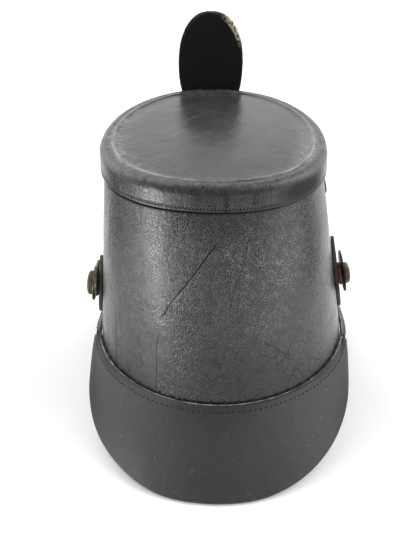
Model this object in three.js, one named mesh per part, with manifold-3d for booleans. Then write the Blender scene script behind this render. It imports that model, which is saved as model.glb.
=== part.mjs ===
// Shako hat of black varnished leather, standing on the lower edges of its two peaks.
// Millimetres. +Z is up, +Y is the wearer's front, +X the wearer's right.
// The origin is on the ground under the middle of the hat's box.

import * as THREE from 'three';
import Module from 'manifold-3d';
import { mergeVertices } from 'three/addons/utils/BufferGeometryUtils.js';

const wasm = await Module();
wasm.setup();

// ---- driving dimensions ----------------------------------------------------------------

const gap = 0.3;                // between neighbouring pieces
const layerGap = gap + 0.1;     // the same, between two curved layers of leather
const turnStep = 0.01;          // radians, for the direction of a curve at an angle

// The body's outline: an egg-shaped oval that narrows upwards and leans a little.
// blunt is the oval's exponent (2 is an ellipse), egg how much wider it is behind.
const foot = { z: 37, halfWidth: 84.1, halfLength: 98, centreX: 0, centreY: 0, blunt: 2, egg: 0 };
const neckline = {
  z: 165.8, halfWidth: 70.6, halfLength: 78, centreX: -4.4, centreY: 1, blunt: 2.17, egg: 0.11,
};
const bodyBulge = 0.4;
const crownRoll = -0.0126;      // rise of the crown per millimetre towards +X
const crownPitch = 0.0145;      // rise of the crown per millimetre towards +Y

const shellWall = 2.5;
const shellBottom = 31;
const shellTop = 178;
const roundSteps = 72;

const crown = {
  wall: 2.2,
  bandBottom: 165.8,
  top: 182.8,
  edgeRadius: 5,
  ridgeInset: 8.8,
  ridgeHeight: 0.7,
  ridgeFoot: 4,                 // how far inside the ridge the flat ends
  ridgeFall: 1.2,               // how far outside it the ridge ends
  discRise: 2,
  lipChamfer: 0.6,
};
const domeMiddle = { radiusShare: 0.5, riseShare: 0.75 };

const peakWall = 2.4;
const flangeWall = 1.6;
const flangeHeight = 5.5;
const peakBulge = 1.5;
const creaseFillet = { rise: 1.2, share: 0.09 };
const peakSteps = 44;

// Each peak's lower edge is a blunt half oval: halfWidth and depth from a centre at reach.
// Its middle stretch lies on the ground, and it rises evenly to cornerZ at the corners.
const neckPeak = {
  front: -1, cornerY: -12, seamCentreZ: 37, seamCornerZ: 36.8,
  reach: 43, halfWidth: 87.6, depth: 109.8, blunt: 2.13, cornerX: 88.6, cornerZ: 30, restStretch: 5,
};
const frontPeak = {
  front: 1, cornerY: -9.5, seamCentreZ: 48, seamCornerZ: 37.2,
  reach: 43, halfWidth: 87.2, depth: 109.8, blunt: 2.13, cornerX: 87.2, cornerZ: 30, restStretch: 5,
};
const turnShare = 0.82;         // share of the seam's angle where the edge starts its straight end

const strap = {
  width: 13, thickness: 2.2, standOff: 0.8, levelZ: 58, steps: 110,
  pointLength: 15, pointShare: 0.12, roundLength: 6, roundShare: 0.02,
  wallRadius: 110,              // of the wall that its edges bend back to
};
const rosette = {
  right: { y: 6, z: 74.7 },
  left: { y: -1, z: 68.5 },
  shankRadius: 1.6,
  holeClearance: 0.4,
  clinchRadius: 4,
  clinchHeight: 1,
  innerThickness: 2.2,
  outerThickness: 1.2,
  knobHeight: 4.3,
};
const drillLength = 40;
const drillSides = 20;
const discSides = 40;
const vent = { radius: 5.8, dome: 1.5, y: 7, leftZ: 138.5, rightZ: 143.5 };
const badge = {
  centreX: -9.5, widestZ: 200, halfWidth: 22.8, rise: 38, drop: 46, blunt: 2.3,
  thickness: 5, bevel: 0.8, clearOfCrown: 0.5, leanDegrees: 1.2, sides: 56,
};
const stem = { width: 8, thickness: 2, length: 32, aboveLoop: 14.5 };
const loop = { width: 17, wall: 1.5, height: 16, z: 136, base: 0.5 };

// ---- materials -------------------------------------------------------------------------

const leatherBody = { color: 0x2b2b2d, roughness: 0.35, metalness: 0 };
const leatherPeak = { color: 0x2f2f30, roughness: 0.55, metalness: 0 };
const leatherStrap = { color: 0x4a4038, roughness: 0.6, metalness: 0 };
const clothBlack = { color: 0x141416, roughness: 0.95, metalness: 0 };
const ironDark = { color: 0x2c2b29, roughness: 0.5, metalness: 0.8 };
const tarnish = { color: 0x6b675c, roughness: 0.55, metalness: 0.8 };
const rust = { color: 0x6a5546, roughness: 0.7, metalness: 0.6 };
const redPaint = { color: 0xb4504a, roughness: 0.5, metalness: 0 };

// ---- the body's surface ----------------------------------------------------------------

function mix(low, high, share) {
  return low + (high - low) * share;
}

function signedPower(value, power) {
  return Math.sign(value) * Math.abs(value) ** power;
}

// A point of the body's outer surface, moved outwards by out. The angle is measured from
// the front towards the wearer's right. share below 1 draws the point in to the middle.
function bodyPoint(angle, z, out = 0, share = 1) {
  const k = heightShare(z);
  const bulge = bodyBulge * 4 * Math.max(0, k * (1 - k));
  const halfWidth = mix(foot.halfWidth, neckline.halfWidth, k) + bulge + out;
  const halfLength = mix(foot.halfLength, neckline.halfLength, k) + bulge + out;
  const power = 2 / mix(foot.blunt, neckline.blunt, k);
  const egg = 1 - mix(foot.egg, neckline.egg, k) * Math.cos(angle);
  const x = halfWidth * share * signedPower(Math.sin(angle), power) * egg;
  const y = halfLength * share * signedPower(Math.cos(angle), power);
  return settle(x, y, z, k);
}

// The crown's parts stand on the neckline's oval at every height.
function crownPoint(angle, z, out, share = 1) {
  const flat = bodyPoint(angle, neckline.z, out, share);
  flat.z += z - neckline.z;
  return flat;
}

function settle(x, y, z, k) {
  const lift = Math.max(0, k) * (crownRoll * x + crownPitch * y);
  return new THREE.Vector3(
    x + mix(foot.centreX, neckline.centreX, k),
    y + mix(foot.centreY, neckline.centreY, k),
    z + lift,
  );
}

function bodyNormal(angle, z) {
  const along = bodyPoint(angle + turnStep, z).sub(bodyPoint(angle - turnStep, z));
  const up = bodyPoint(angle, z + 1).sub(bodyPoint(angle, z - 1));
  return up.cross(along).normalize();
}

function heightShare(z) {
  return (z - foot.z) / (neckline.z - foot.z);
}

// The angle at which the body's surface has the given y, on the right (+1) or left (-1).
function sideAngle(side, y, z) {
  const k = heightShare(z);
  const halfLength = mix(foot.halfLength, neckline.halfLength, k);
  const centreY = mix(foot.centreY, neckline.centreY, k);
  return side * Math.acos((y - centreY) / halfLength);
}

// A frame on the body's surface: +Z outwards, +Y up along the surface.
function surfaceFrame(angle, z) {
  const out = bodyNormal(angle, z);
  const up = new THREE.Vector3(0, 0, 1);
  up.addScaledVector(out, -up.dot(out)).normalize();
  const across = up.clone().cross(out);
  const frame = new THREE.Group();
  frame.matrix.makeBasis(across, up, out).setPosition(bodyPoint(angle, z));
  frame.matrix.decompose(frame.position, frame.quaternion, frame.scale);
  return frame;
}

// ---- closed solids ---------------------------------------------------------------------

function facingOut(geometry) {
  const place = geometry.getAttribute('position');
  const index = geometry.getIndex().array;
  const a = new THREE.Vector3();
  const b = new THREE.Vector3();
  const c = new THREE.Vector3();
  let volume = 0;
  for (let i = 0; i < index.length; i += 3) {
    a.fromBufferAttribute(place, index[i]);
    b.fromBufferAttribute(place, index[i + 1]);
    c.fromBufferAttribute(place, index[i + 2]);
    volume += a.dot(b.cross(c));
  }
  if (volume < 0) {
    index.reverse();
  }
  geometry.computeVertexNormals();
  return geometry;
}

function welded(geometry) {
  geometry.deleteAttribute('normal');
  geometry.deleteAttribute('uv');
  return facingOut(mergeVertices(geometry, 1e-4));
}

// A wall turned round the body: the lathe makes the closed profile of (radius, height),
// and place() moves each of its points onto the oval.
function turnedWall(profile, place) {
  const geometry = new THREE.LatheGeometry(profile, roundSteps);
  const point = geometry.getAttribute('position');
  for (let i = 0; i < point.count; i += 1) {
    const angle = Math.atan2(point.getX(i), point.getZ(i));
    const radius = Math.hypot(point.getX(i), point.getZ(i));
    const moved = place(angle, radius, point.getY(i));
    point.setXYZ(i, moved.x, moved.y, moved.z);
  }
  return welded(geometry);
}

// A solid drawn through sections of the same number of points, closed by flat ends.
function lofted(sections, flatten) {
  const count = sections[0].length;
  const points = sections.flat();
  const index = [];
  for (let s = 0; s + 1 < sections.length; s += 1) {
    for (let i = 0; i < count; i += 1) {
      const here = s * count + i;
      const next = s * count + (i + 1) % count;
      index.push(here, next, here + count, next, next + count, here + count);
    }
  }
  const last = (sections.length - 1) * count;
  const faces = THREE.ShapeUtils.triangulateShape(sections[0].map(flatten), []);
  const ccw = !THREE.ShapeUtils.isClockWise(sections[0].map(flatten));
  for (const [a, b, c] of faces) {
    const start = ccw ? [a, c, b] : [a, b, c];
    index.push(...start);
    index.push(...start.toReversed().map((corner) => corner + last));
  }
  const geometry = new THREE.BufferGeometry().setFromPoints(points);
  geometry.setIndex(index);
  return facingOut(geometry);
}

function toManifold(geometry) {
  const bare = geometry.clone();
  bare.deleteAttribute('normal');
  bare.deleteAttribute('uv');
  const merged = mergeVertices(bare, 1e-4);
  return new wasm.Manifold(new wasm.Mesh({
    numProp: 3,
    vertProperties: new Float32Array(merged.getAttribute('position').array),
    triVerts: new Uint32Array(merged.getIndex().array),
  }));
}

function without(geometry, tool) {
  const mesh = toManifold(geometry).subtract(toManifold(tool)).getMesh();
  const result = new THREE.BufferGeometry();
  result.setAttribute('position', new THREE.BufferAttribute(mesh.vertProperties, 3));
  result.setIndex(new THREE.BufferAttribute(mesh.triVerts, 1));
  result.computeVertexNormals();
  return result;
}

function turned(rows, steps) {
  const profile = rows.map(([radius, height]) => new THREE.Vector2(radius, height));
  return welded(new THREE.LatheGeometry(profile, steps).rotateX(Math.PI / 2));
}

const hat = new THREE.Group();

function addPiece(name, geometry, look, parent = hat) {
  const piece = new THREE.Mesh(geometry, new THREE.MeshStandardMaterial(look));
  piece.name = name;
  parent.add(piece);
  return piece;
}

// ---- where the rosettes and vents sit --------------------------------------------------

const rightRosette = surfaceFrame(sideAngle(1, rosette.right.y, rosette.right.z), rosette.right.z);
const leftRosette = surfaceFrame(sideAngle(-1, rosette.left.y, rosette.left.z), rosette.left.z);
const rightVent = surfaceFrame(sideAngle(1, vent.y, vent.rightZ), vent.rightZ);
const leftVent = surfaceFrame(sideAngle(-1, vent.y, vent.leftZ), vent.leftZ);
const fixings = [rightRosette, leftRosette, rightVent, leftVent];

function shankDrill() {
  const radius = rosette.shankRadius + rosette.holeClearance;
  return new THREE.CylinderGeometry(radius, radius, drillLength, drillSides).rotateX(Math.PI / 2);
}

function shankHole(frame) {
  frame.updateMatrix();
  return shankDrill().applyMatrix4(frame.matrix);
}

// ---- shell -----------------------------------------------------------------------------

const shellMiddle = 100;        // lathe radius that stands for the shell's outer surface
const shellLevels = [shellBottom, 52, 80, 110, 140, neckline.z, shellTop];
const shellProfile = [
  ...shellLevels.map((z) => new THREE.Vector2(shellMiddle, z)),
  ...shellLevels.toReversed().map((z) => new THREE.Vector2(shellMiddle - shellWall, z)),
  new THREE.Vector2(shellMiddle, shellBottom),
];
let shell = turnedWall(shellProfile, (angle, radius, z) => bodyPoint(angle, z, radius - shellMiddle));
for (const frame of fixings) {
  shell = without(shell, shankHole(frame));
}
addPiece('shell', shell, leatherBody);

// ---- crown: one moulded lid with its band ----------------------------------------------

function crownProfile() {
  const { wall, bandBottom, top, edgeRadius, ridgeInset, ridgeHeight, ridgeFoot, ridgeFall } = crown;
  const { discRise, lipChamfer } = crown;
  const outer = shellMiddle;
  const ridge = outer - ridgeInset;
  const innerRadius = edgeRadius - wall;
  const middle = ridge * domeMiddle.radiusShare;
  const middleTop = top + discRise * domeMiddle.riseShare;
  const rows = [[0, top + discRise], [middle, middleTop], [ridge - ridgeFoot, top]];
  rows.push([ridge - 1, top + ridgeHeight * 0.4], [ridge, top + ridgeHeight], [ridge + ridgeFall, top]);
  for (const turn of [0, 0.25, 0.5, 0.75, 1]) {
    const a = turn * Math.PI / 2;
    const x = outer - edgeRadius + edgeRadius * Math.sin(a);
    rows.push([x, top - edgeRadius + edgeRadius * Math.cos(a)]);
  }
  rows.push([outer, bandBottom + lipChamfer], [outer - lipChamfer, bandBottom], [outer - wall, bandBottom]);
  for (const turn of [1, 0.5, 0]) {
    const a = turn * Math.PI / 2;
    const x = outer - edgeRadius + innerRadius * Math.sin(a);
    rows.push([x, top - edgeRadius + innerRadius * Math.cos(a)]);
  }
  rows.push([middle, middleTop - wall], [0, top + discRise - wall]);
  return rows.map(([radius, z]) => new THREE.Vector2(radius, z));
}

const bandOut = crown.wall + layerGap;
const discRadius = 88;          // inside this lathe radius the points draw in to the middle
const crownSolid = turnedWall(crownProfile(), (angle, radius, z) => {
  const share = Math.min(1, radius / discRadius);
  const out = Math.max(radius, discRadius) - shellMiddle + bandOut;
  return crownPoint(angle, z, out, share);
});
addPiece('crown', crownSolid, leatherBody);

// ---- peaks -----------------------------------------------------------------------------

// One section of a peak, at an angle from the peak's own middle: from the flange's top,
// down inside, out along the underside to the edge, and back over the top.
function peakSection(spec, turn, seamHalfAngle) {
  const share = Math.abs(turn) / seamHalfAngle;
  const seamZ = mix(spec.seamCentreZ, spec.seamCornerZ, share * share);
  const heading = (t) => (spec.front > 0 ? t : Math.PI - t);
  const creaseZ = seamZ - flangeHeight;
  const start = (t) => bodyPoint(heading(t), creaseZ, layerGap);
  const crease = start(turn);
  const edge = peakEdge(spec, turn, seamHalfAngle);
  const along = start(turn + turnStep).sub(start(turn - turnStep));
  const edgeAlong = peakEdge(spec, turn + turnStep, seamHalfAngle);
  edgeAlong.sub(peakEdge(spec, turn - turnStep, seamHalfAngle));
  along.normalize().add(edgeAlong.normalize());
  const up = along.cross(edge.clone().sub(crease)).normalize();
  if (up.z < 0) {
    up.negate();
  }
  const under = (t) => crease.clone().lerp(edge, t).addScaledVector(up, peakBulge * 4 * t * (1 - t));
  const over = (t) => under(t).addScaledVector(up, peakWall);
  const flangeOut = layerGap + flangeWall;
  const bend = bodyPoint(heading(turn), creaseZ + peakWall + creaseFillet.rise, flangeOut);
  return [
    bodyPoint(heading(turn), seamZ, layerGap),
    crease, under(0.25), under(0.5), under(0.75), edge,
    over(1), over(0.75), over(0.5), over(0.25), over(creaseFillet.share),
    bend,
    bodyPoint(heading(turn), seamZ, flangeOut),
  ];
}

// The lower edge's point for an angle along the seam.
function peakEdge(spec, turn, seamHalfAngle) {
  const side = Math.sign(turn) || 1;
  const share = Math.abs(turn) / seamHalfAngle;
  const sweep = Math.min(1, share / turnShare) * Math.PI / 2;
  const power = 2 / spec.blunt;
  const x = spec.halfWidth * Math.sin(sweep) ** power;
  const y = spec.front * (spec.reach + spec.depth * Math.cos(sweep) ** power);
  const past = Math.max(0, (share - turnShare) / (1 - turnShare));
  const edgeX = mix(x, spec.cornerX, past);
  const edgeY = mix(y, spec.cornerY, past);
  const restY = spec.front * (spec.reach + spec.depth - spec.restStretch);
  const rise = spec.cornerZ * Math.max(0, (edgeY - restY) / (spec.cornerY - restY));
  return new THREE.Vector3(side * edgeX, edgeY, rise);
}

function peakSolid(spec) {
  const seamHalfAngle = Math.acos(spec.front * spec.cornerY / foot.halfLength);
  const sections = [];
  for (let i = 0; i <= peakSteps; i += 1) {
    const turn = mix(-seamHalfAngle, seamHalfAngle, i / peakSteps);
    sections.push(peakSection(spec, turn, seamHalfAngle));
  }
  const first = sections[0];
  const edge = peakEdge(spec, -seamHalfAngle, seamHalfAngle);
  const outward = edge.sub(first[0]).setZ(0).normalize();
  return lofted(sections, (p) => new THREE.Vector2(p.clone().sub(first[0]).dot(outward), p.z));
}

addPiece('neck_peak', peakSolid(neckPeak), leatherPeak);
addPiece('front_peak', peakSolid(frontPeak), leatherPeak);

// ---- chin strap ------------------------------------------------------------------------

// The strap's route on the body: along is the distance from the right rosette round the
// front, as a share of the whole way to the left rosette, or in millimetres from an end.
function strapRoute() {
  const startAngle = sideAngle(1, rosette.right.y, strap.levelZ);
  const endAngle = sideAngle(-1, rosette.left.y, strap.levelZ);
  const samples = 60;
  const levelPoint = (_, i) => bodyPoint(mix(startAngle, endAngle, i / samples), strap.levelZ);
  const round = new THREE.CatmullRomCurve3(Array.from({ length: samples + 1 }, levelPoint));
  const whole = round.getLength();
  const rows = [
    { along: 0, z: 104.5 },
    { along: 0, z: 90 },
    { along: 0, z: rosette.right.z },
    { along: 0.5, z: 62 },
    { along: 4, z: 54 },
    { along: 12, z: 50.5 },
    { along: 30, z: 51 },
    { along: 75, z: 56 },
    { along: whole / 2, z: 58.5 },
    { along: whole - 75, z: 56 },
    { along: whole - 30, z: 50.5 },
    { along: whole - 12, z: 48.5 },
    { along: whole - 4, z: 51 },
    { along: whole - 0.5, z: 58 },
    { along: whole, z: rosette.left.z },
    { along: whole, z: 80 },
    { along: whole, z: 90.5 },
  ];
  const flat = new THREE.SplineCurve(rows.map((row) => new THREE.Vector2(row.along, row.z)));
  const angleAt = (along) => {
    const share = THREE.MathUtils.clamp(along / whole, 0, 1);
    return mix(startAngle, endAngle, round.getUtoTmapping(share));
  };
  return { flat, angleAt };
}

function strapSolid() {
  const { flat, angleAt } = strapRoute();
  const length = flat.getLength();
  const sections = [];
  for (let i = 0; i <= strap.steps; i += 1) {
    const run = i / strap.steps;
    const at = flat.getPointAt(run);
    const heading = flat.getTangentAt(run);
    const out = bodyNormal(angleAt(at.x), at.y);
    const upSurface = new THREE.Vector3(0, 0, 1).addScaledVector(out, -out.z).normalize();
    const forward = out.clone().cross(upSurface).negate();
    const across = upSurface.clone().multiplyScalar(-heading.x).addScaledVector(forward, heading.y);
    const fromRight = run * length;
    const fromLeft = length - fromRight;
    const pointed = Math.min(1, strap.pointShare + fromRight / strap.pointLength);
    const rounded = Math.sqrt(Math.min(1, strap.roundShare + fromLeft / strap.roundLength));
    const half = strap.width / 2 * Math.min(pointed, rounded);
    const middle = bodyPoint(angleAt(at.x), at.y);
    const corner = (side, lift) => middle.clone().addScaledVector(across, side * half)
      .addScaledVector(out, lift);
    const sag = half * half / (2 * strap.wallRadius) * Math.abs(heading.y);
    const low = strap.standOff;
    const high = strap.standOff + strap.thickness;
    sections.push([
      corner(-1, low - sag), corner(0, low), corner(1, low - sag),
      corner(1, high - sag), corner(0, high), corner(-1, high - sag),
    ]);
  }
  const across = sections[0][2].clone().sub(sections[0][0]).normalize();
  const out = bodyNormal(angleAt(0), rosette.right.z);
  return lofted(sections, (p) => new THREE.Vector2(p.dot(across), p.dot(out)));
}

let chinStrap = strapSolid();
for (const frame of [rightRosette, leftRosette]) {
  chinStrap = without(chinStrap, shankHole(frame));
}
addPiece('chin_strap', chinStrap, leatherStrap);

// ---- rosettes: discs on a riveted shank ------------------------------------------------

// A domed head on a shank that goes through the wall and is clinched inside.
function rivet(headRadius, headBase, headHeight, steps) {
  const inside = -shellWall - gap;
  const shank = rosette.shankRadius;
  const clinch = rosette.clinchRadius;
  const edge = headHeight * 0.35;
  return turned([
    [0, inside - rosette.clinchHeight], [clinch, inside - rosette.clinchHeight],
    [clinch, inside], [shank, inside], [shank, headBase], [headRadius - edge * 0.5, headBase],
    [headRadius, headBase + edge * 0.5], [headRadius, headBase + headHeight * 0.55],
    [headRadius * 0.86, headBase + headHeight * 0.82],
    [headRadius * 0.55, headBase + headHeight * 0.95], [0, headBase + headHeight],
  ], steps);
}

// A flat disc with a rounded rim, holed for the shank. rise moves it up off the shank's line.
function disc(radius, base, thickness, rise) {
  const edge = thickness * 0.3;
  const solid = turned([
    [0, base], [radius - edge, base], [radius, base + edge],
    [radius, base + thickness - edge], [radius - edge, base + thickness], [0, base + thickness],
  ], discSides);
  solid.translate(0, rise, 0);
  return without(solid, shankDrill());
}

const strapFace = strap.standOff + strap.thickness;
const innerBase = strapFace + gap;
const { innerThickness, outerThickness, knobHeight } = rosette;
const outerBase = innerBase + innerThickness + gap;
const knobBase = outerBase + outerThickness + gap;

addPiece('right_ring', disc(8, innerBase, innerThickness, 0), redPaint, rightRosette);
addPiece('right_rosette_plate', disc(14.6, outerBase, outerThickness, 2), ironDark, rightRosette);
addPiece('right_knob', rivet(7.4, knobBase, knobHeight, 36), tarnish, rightRosette);
addPiece('left_disc', disc(12.8, innerBase, innerThickness, 4), tarnish, leftRosette);
addPiece('left_rosette_plate', disc(12.3, outerBase, outerThickness, 0), tarnish, leftRosette);
addPiece('left_knob', rivet(8.5, knobBase, knobHeight, 36), rust, leftRosette);
hat.add(rightRosette, leftRosette);

addPiece('right_vent', rivet(vent.radius, gap, vent.dome, 28), ironDark, rightVent);
addPiece('left_vent', rivet(vent.radius, gap, vent.dome, 28), ironDark, leftVent);
hat.add(rightVent, leftVent);

// ---- field badge, its stem and its loop ------------------------------------------------

function badgeShape() {
  const points = [];
  for (let i = 0; i < badge.sides; i += 1) {
    const a = i / badge.sides * Math.PI * 2;
    const upper = Math.sin(a) > 0;
    const power = 2 / (upper ? badge.blunt : 2);
    const reach = upper ? badge.rise : badge.drop;
    const x = (badge.halfWidth - badge.bevel) * signedPower(Math.cos(a), power);
    points.push(new THREE.Vector2(x, (reach - badge.bevel) * signedPower(Math.sin(a), power)));
  }
  return new THREE.Shape(points);
}

const badgeGeometry = new THREE.ExtrudeGeometry(badgeShape(), {
  depth: badge.thickness - 2 * badge.bevel,
  bevelEnabled: true,
  bevelThickness: badge.bevel,
  bevelSize: badge.bevel,
  bevelSegments: 2,
  steps: 1,
});
badgeGeometry.translate(0, 0, badge.bevel);
badgeGeometry.rotateX(Math.PI / 2);
badgeGeometry.rotateZ(Math.PI);
const crownFront = crownPoint(0, neckline.z, bandOut).y;
const plaque = addPiece('field_badge', welded(badgeGeometry), clothBlack);
plaque.position.set(badge.centreX, crownFront + badge.clearOfCrown, badge.widestZ);
plaque.rotation.y = badge.leanDegrees * Math.PI / 180;

const loopCentreX = mix(foot.centreX, neckline.centreX, heightShare(loop.z));
const badgeAngle = Math.asin((badge.centreX - loopCentreX) / neckline.halfWidth);
const loopFrame = surfaceFrame(badgeAngle, loop.z);
const slotDepth = stem.thickness + 2 * gap;
const loopDepth = slotDepth + 2 * loop.wall;
const loopShape = new THREE.Shape([
  new THREE.Vector2(-loop.width / 2, 0), new THREE.Vector2(loop.width / 2, 0),
  new THREE.Vector2(stem.width / 2 + loop.wall, loopDepth),
  new THREE.Vector2(-stem.width / 2 - loop.wall, loopDepth),
]);
loopShape.holes.push(new THREE.Path([
  new THREE.Vector2(-stem.width / 2 - gap, loop.wall),
  new THREE.Vector2(-stem.width / 2 - gap, loop.wall + slotDepth),
  new THREE.Vector2(stem.width / 2 + gap, loop.wall + slotDepth),
  new THREE.Vector2(stem.width / 2 + gap, loop.wall),
]));
const loopGeometry = new THREE.ExtrudeGeometry(loopShape, { depth: loop.height, bevelEnabled: false });
loopGeometry.translate(0, loop.base, -loop.height / 2);
loopGeometry.rotateX(Math.PI / 2);
addPiece('badge_loop', welded(loopGeometry), leatherBody, loopFrame);

const stemGeometry = new THREE.BoxGeometry(stem.width, stem.length, stem.thickness);
const stemOut = loop.base + loop.wall + slotDepth / 2;
stemGeometry.translate(0, stem.aboveLoop - stem.length / 2, stemOut);
addPiece('badge_stem', welded(stemGeometry), ironDark, loopFrame);
hat.add(loopFrame);

// ---- the origin under the middle of the hat's box --------------------------------------

hat.updateMatrixWorld(true);
const box = new THREE.Box3().setFromObject(hat, true);
hat.position.set(-(box.min.x + box.max.x) / 2, -(box.min.y + box.max.y) / 2, -box.min.z);

export default hat;
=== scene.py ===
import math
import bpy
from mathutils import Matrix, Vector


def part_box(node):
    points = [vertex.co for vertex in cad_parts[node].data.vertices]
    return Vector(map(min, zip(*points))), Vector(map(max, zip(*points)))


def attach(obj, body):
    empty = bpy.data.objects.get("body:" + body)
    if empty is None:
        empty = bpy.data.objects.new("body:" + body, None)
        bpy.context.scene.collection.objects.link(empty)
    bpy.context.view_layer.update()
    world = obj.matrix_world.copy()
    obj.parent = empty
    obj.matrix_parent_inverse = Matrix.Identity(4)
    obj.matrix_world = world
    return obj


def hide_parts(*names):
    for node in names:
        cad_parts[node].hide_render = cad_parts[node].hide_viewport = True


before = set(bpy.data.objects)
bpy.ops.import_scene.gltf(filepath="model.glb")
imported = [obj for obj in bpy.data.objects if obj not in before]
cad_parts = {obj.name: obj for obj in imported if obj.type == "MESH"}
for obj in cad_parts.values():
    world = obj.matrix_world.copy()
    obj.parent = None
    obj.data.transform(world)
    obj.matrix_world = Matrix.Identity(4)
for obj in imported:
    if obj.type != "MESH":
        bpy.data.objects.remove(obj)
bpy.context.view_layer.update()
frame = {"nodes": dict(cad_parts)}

# Black varnished leather shako, standing on its two peaks, seen from behind and above.
# Metres. +Z is up, +Y the wearer's front, +X the wearer's right.

from types import SimpleNamespace as Sizes

import bpy
from mathutils import Matrix, Vector

MM = 0.001

# ---- sizes of the hat ------------------------------------------------------------------

# The body is an egg-shaped oval that narrows from the foot to the neckline.
FOOT = Sizes(z=37 * MM, half_width=84.1 * MM, half_length=98 * MM, x=0, y=0, blunt=2, egg=0)
NECKLINE = Sizes(
    z=165.8 * MM, half_width=70.6 * MM, half_length=78 * MM,
    x=-4.4 * MM, y=1 * MM, blunt=2.17, egg=0.11,
)
BODY_BULGE = 0.4 * MM
CROWN_ROLL = -0.0126            # rise of the crown per metre towards +X
CROWN_PITCH = 0.0145            # rise of the crown per metre towards +Y

BLOCK_RADIUS = 100 * MM         # the round block that leather is drawn on before it takes the oval
DISC_RADIUS = 88 * MM           # inside this the crown's points draw in to the middle
ROUND = 192                     # points round the block

SHELL = Sizes(bottom=31 * MM, top=178 * MM, wall=2.5 * MM)
CROWN = Sizes(
    wall=2.2 * MM, band_bottom=165.8 * MM, top=182.8 * MM, edge=5 * MM,
    ridge_inset=8.8 * MM, ridge_height=0.75 * MM, disc_rise=2 * MM, clear=2.6 * MM,
)
NECK_SEAM = Sizes(front=-1, corner_y=-12 * MM, centre_z=37 * MM, corner_z=36.8 * MM)
FRONT_SEAM = Sizes(front=1, corner_y=-9.5 * MM, centre_z=48 * MM, corner_z=37.2 * MM)
FLANGE = Sizes(out=2 * MM, height=5.5 * MM)

low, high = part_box("neck_peak")
HAT_MIDDLE_X = (low.x + high.x) / 2
low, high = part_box("field_badge")
BADGE = Sizes(
    x=(low.x + high.x) / 2, y=(low.y + high.y) / 2, z=(low.z + high.z) / 2,
    half_width=(high.x - low.x) / 2, half_height=(high.z - low.z) / 2,
)

# Stitches: how far apart and how big, how they turn from the seam's line and how much that varies.
SEAM_STITCH = Sizes(pitch=3.7 * MM, length=2.2 * MM, radius=0.48 * MM, tilt=0.15, sway=0.5)
WHIPPING = Sizes(pitch=9.2 * MM, length=3.4 * MM, radius=0.5 * MM, tilt=1.2, sway=0.2)
BAND_STITCH = Sizes(pitch=2.2 * MM, length=1.9 * MM, radius=0.3 * MM, tilt=0.7, sway=0.15)
SEAM_STITCH_OUT = 4.9 * MM      # from the body out to the row of stitches on the peak
BAND_GROOVE_Z = CROWN.band_bottom + 2.8 * MM
BAND_GROOVE_DEPTH = 0.45 * MM
EDGE_BEAD_RADIUS = 0.27 * MM
STITCH_FLATNESS = 0.8           # a stitch's height as a share of its width
SEAM_MARGIN = 0.012             # share of a seam that stays bare at each end
SEAM_STEPS = 400
BAND_STEPS = 720

# Long splits of the varnish down the back: from and to in (x, z), how wide and how plain.
SPLITS = (
    Sizes(start=(3 * MM, 147 * MM), end=(-38 * MM, 86 * MM), width=0.65 * MM, plain=1),
    Sizes(start=(-36 * MM, 80 * MM), end=(-39 * MM, 34 * MM), width=0.5 * MM, plain=0.75),
    Sizes(start=(22 * MM, 150 * MM), end=(8 * MM, 95 * MM), width=0.5 * MM, plain=0.5),
    Sizes(start=(30 * MM, 78 * MM), end=(62 * MM, 46 * MM), width=0.4 * MM, plain=0.5),
    Sizes(start=(55 * MM, 82 * MM), end=(40 * MM, 50 * MM), width=0.4 * MM, plain=0.5),
)

CAMERA = Sizes(
    elevation=math.radians(29.85), azimuth=math.radians(2.46), roll=math.radians(-0.42),
    distance=828.25 * MM, aim=(HAT_MIDDLE_X - 11.04 * MM, 0, 77.1 * MM),
    sensor=36, half_view=math.radians(13),
)
FLOOR = Sizes(width=4.0, length=2.6, middle_y=0.95, z=-0.05 * MM, glow=0.28)

# Dark cards at both sides: where each stands on the floor, from and to in (x, y).
CARDS = (
    Sizes(name="left_card", start=(-312 * MM, -20 * MM), end=(-262 * MM, 120 * MM)),
    Sizes(name="right_card", start=(312 * MM, -50 * MM), end=(272 * MM, 100 * MM)),
)
CARD_HEIGHT = 120 * MM
CARD_LIFT = 1 * MM              # keeps a card's foot off the floor


# ---- the body's surface ----------------------------------------------------------------


def mix(a, b, share):
    return a + (b - a) * share


def signed_power(value, power):
    return math.copysign(abs(value) ** power, value)


def body_point(angle, z, out=0.0, share=1.0):
    """A point of the body's outer surface, moved outwards by out and drawn in to the middle by share.
    The angle runs from the front towards the wearer's right."""
    k = (z - FOOT.z) / (NECKLINE.z - FOOT.z)
    bulge = BODY_BULGE * 4 * max(0, k * (1 - k))
    half_width = mix(FOOT.half_width, NECKLINE.half_width, k) + bulge + out
    half_length = mix(FOOT.half_length, NECKLINE.half_length, k) + bulge + out
    power = 2 / mix(FOOT.blunt, NECKLINE.blunt, k)
    egg = 1 - mix(FOOT.egg, NECKLINE.egg, k) * math.cos(angle)
    x = half_width * share * signed_power(math.sin(angle), power) * egg
    y = half_length * share * signed_power(math.cos(angle), power)
    lift = max(0, k) * (CROWN_ROLL * x + CROWN_PITCH * y)
    return Vector((
        x + mix(FOOT.x, NECKLINE.x, k) + HAT_MIDDLE_X,
        y + mix(FOOT.y, NECKLINE.y, k),
        z + lift,
    ))


def crown_point(angle, z, out, share=1.0):
    """The crown stands on the neckline's oval at every height."""
    point = body_point(angle, NECKLINE.z, out, share)
    point.z += z - NECKLINE.z
    return point


def on_body(angle, radius, z):
    return body_point(angle, z, radius - BLOCK_RADIUS)


def on_crown(angle, radius, z):
    share = min(1, radius / DISC_RADIUS)
    out = max(radius, DISC_RADIUS) - BLOCK_RADIUS + CROWN.clear
    return crown_point(angle, z, out, share)


def seam_height(seam, turn, half_angle):
    share = abs(turn) / half_angle
    return mix(seam.centre_z, seam.corner_z, share * share)


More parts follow.
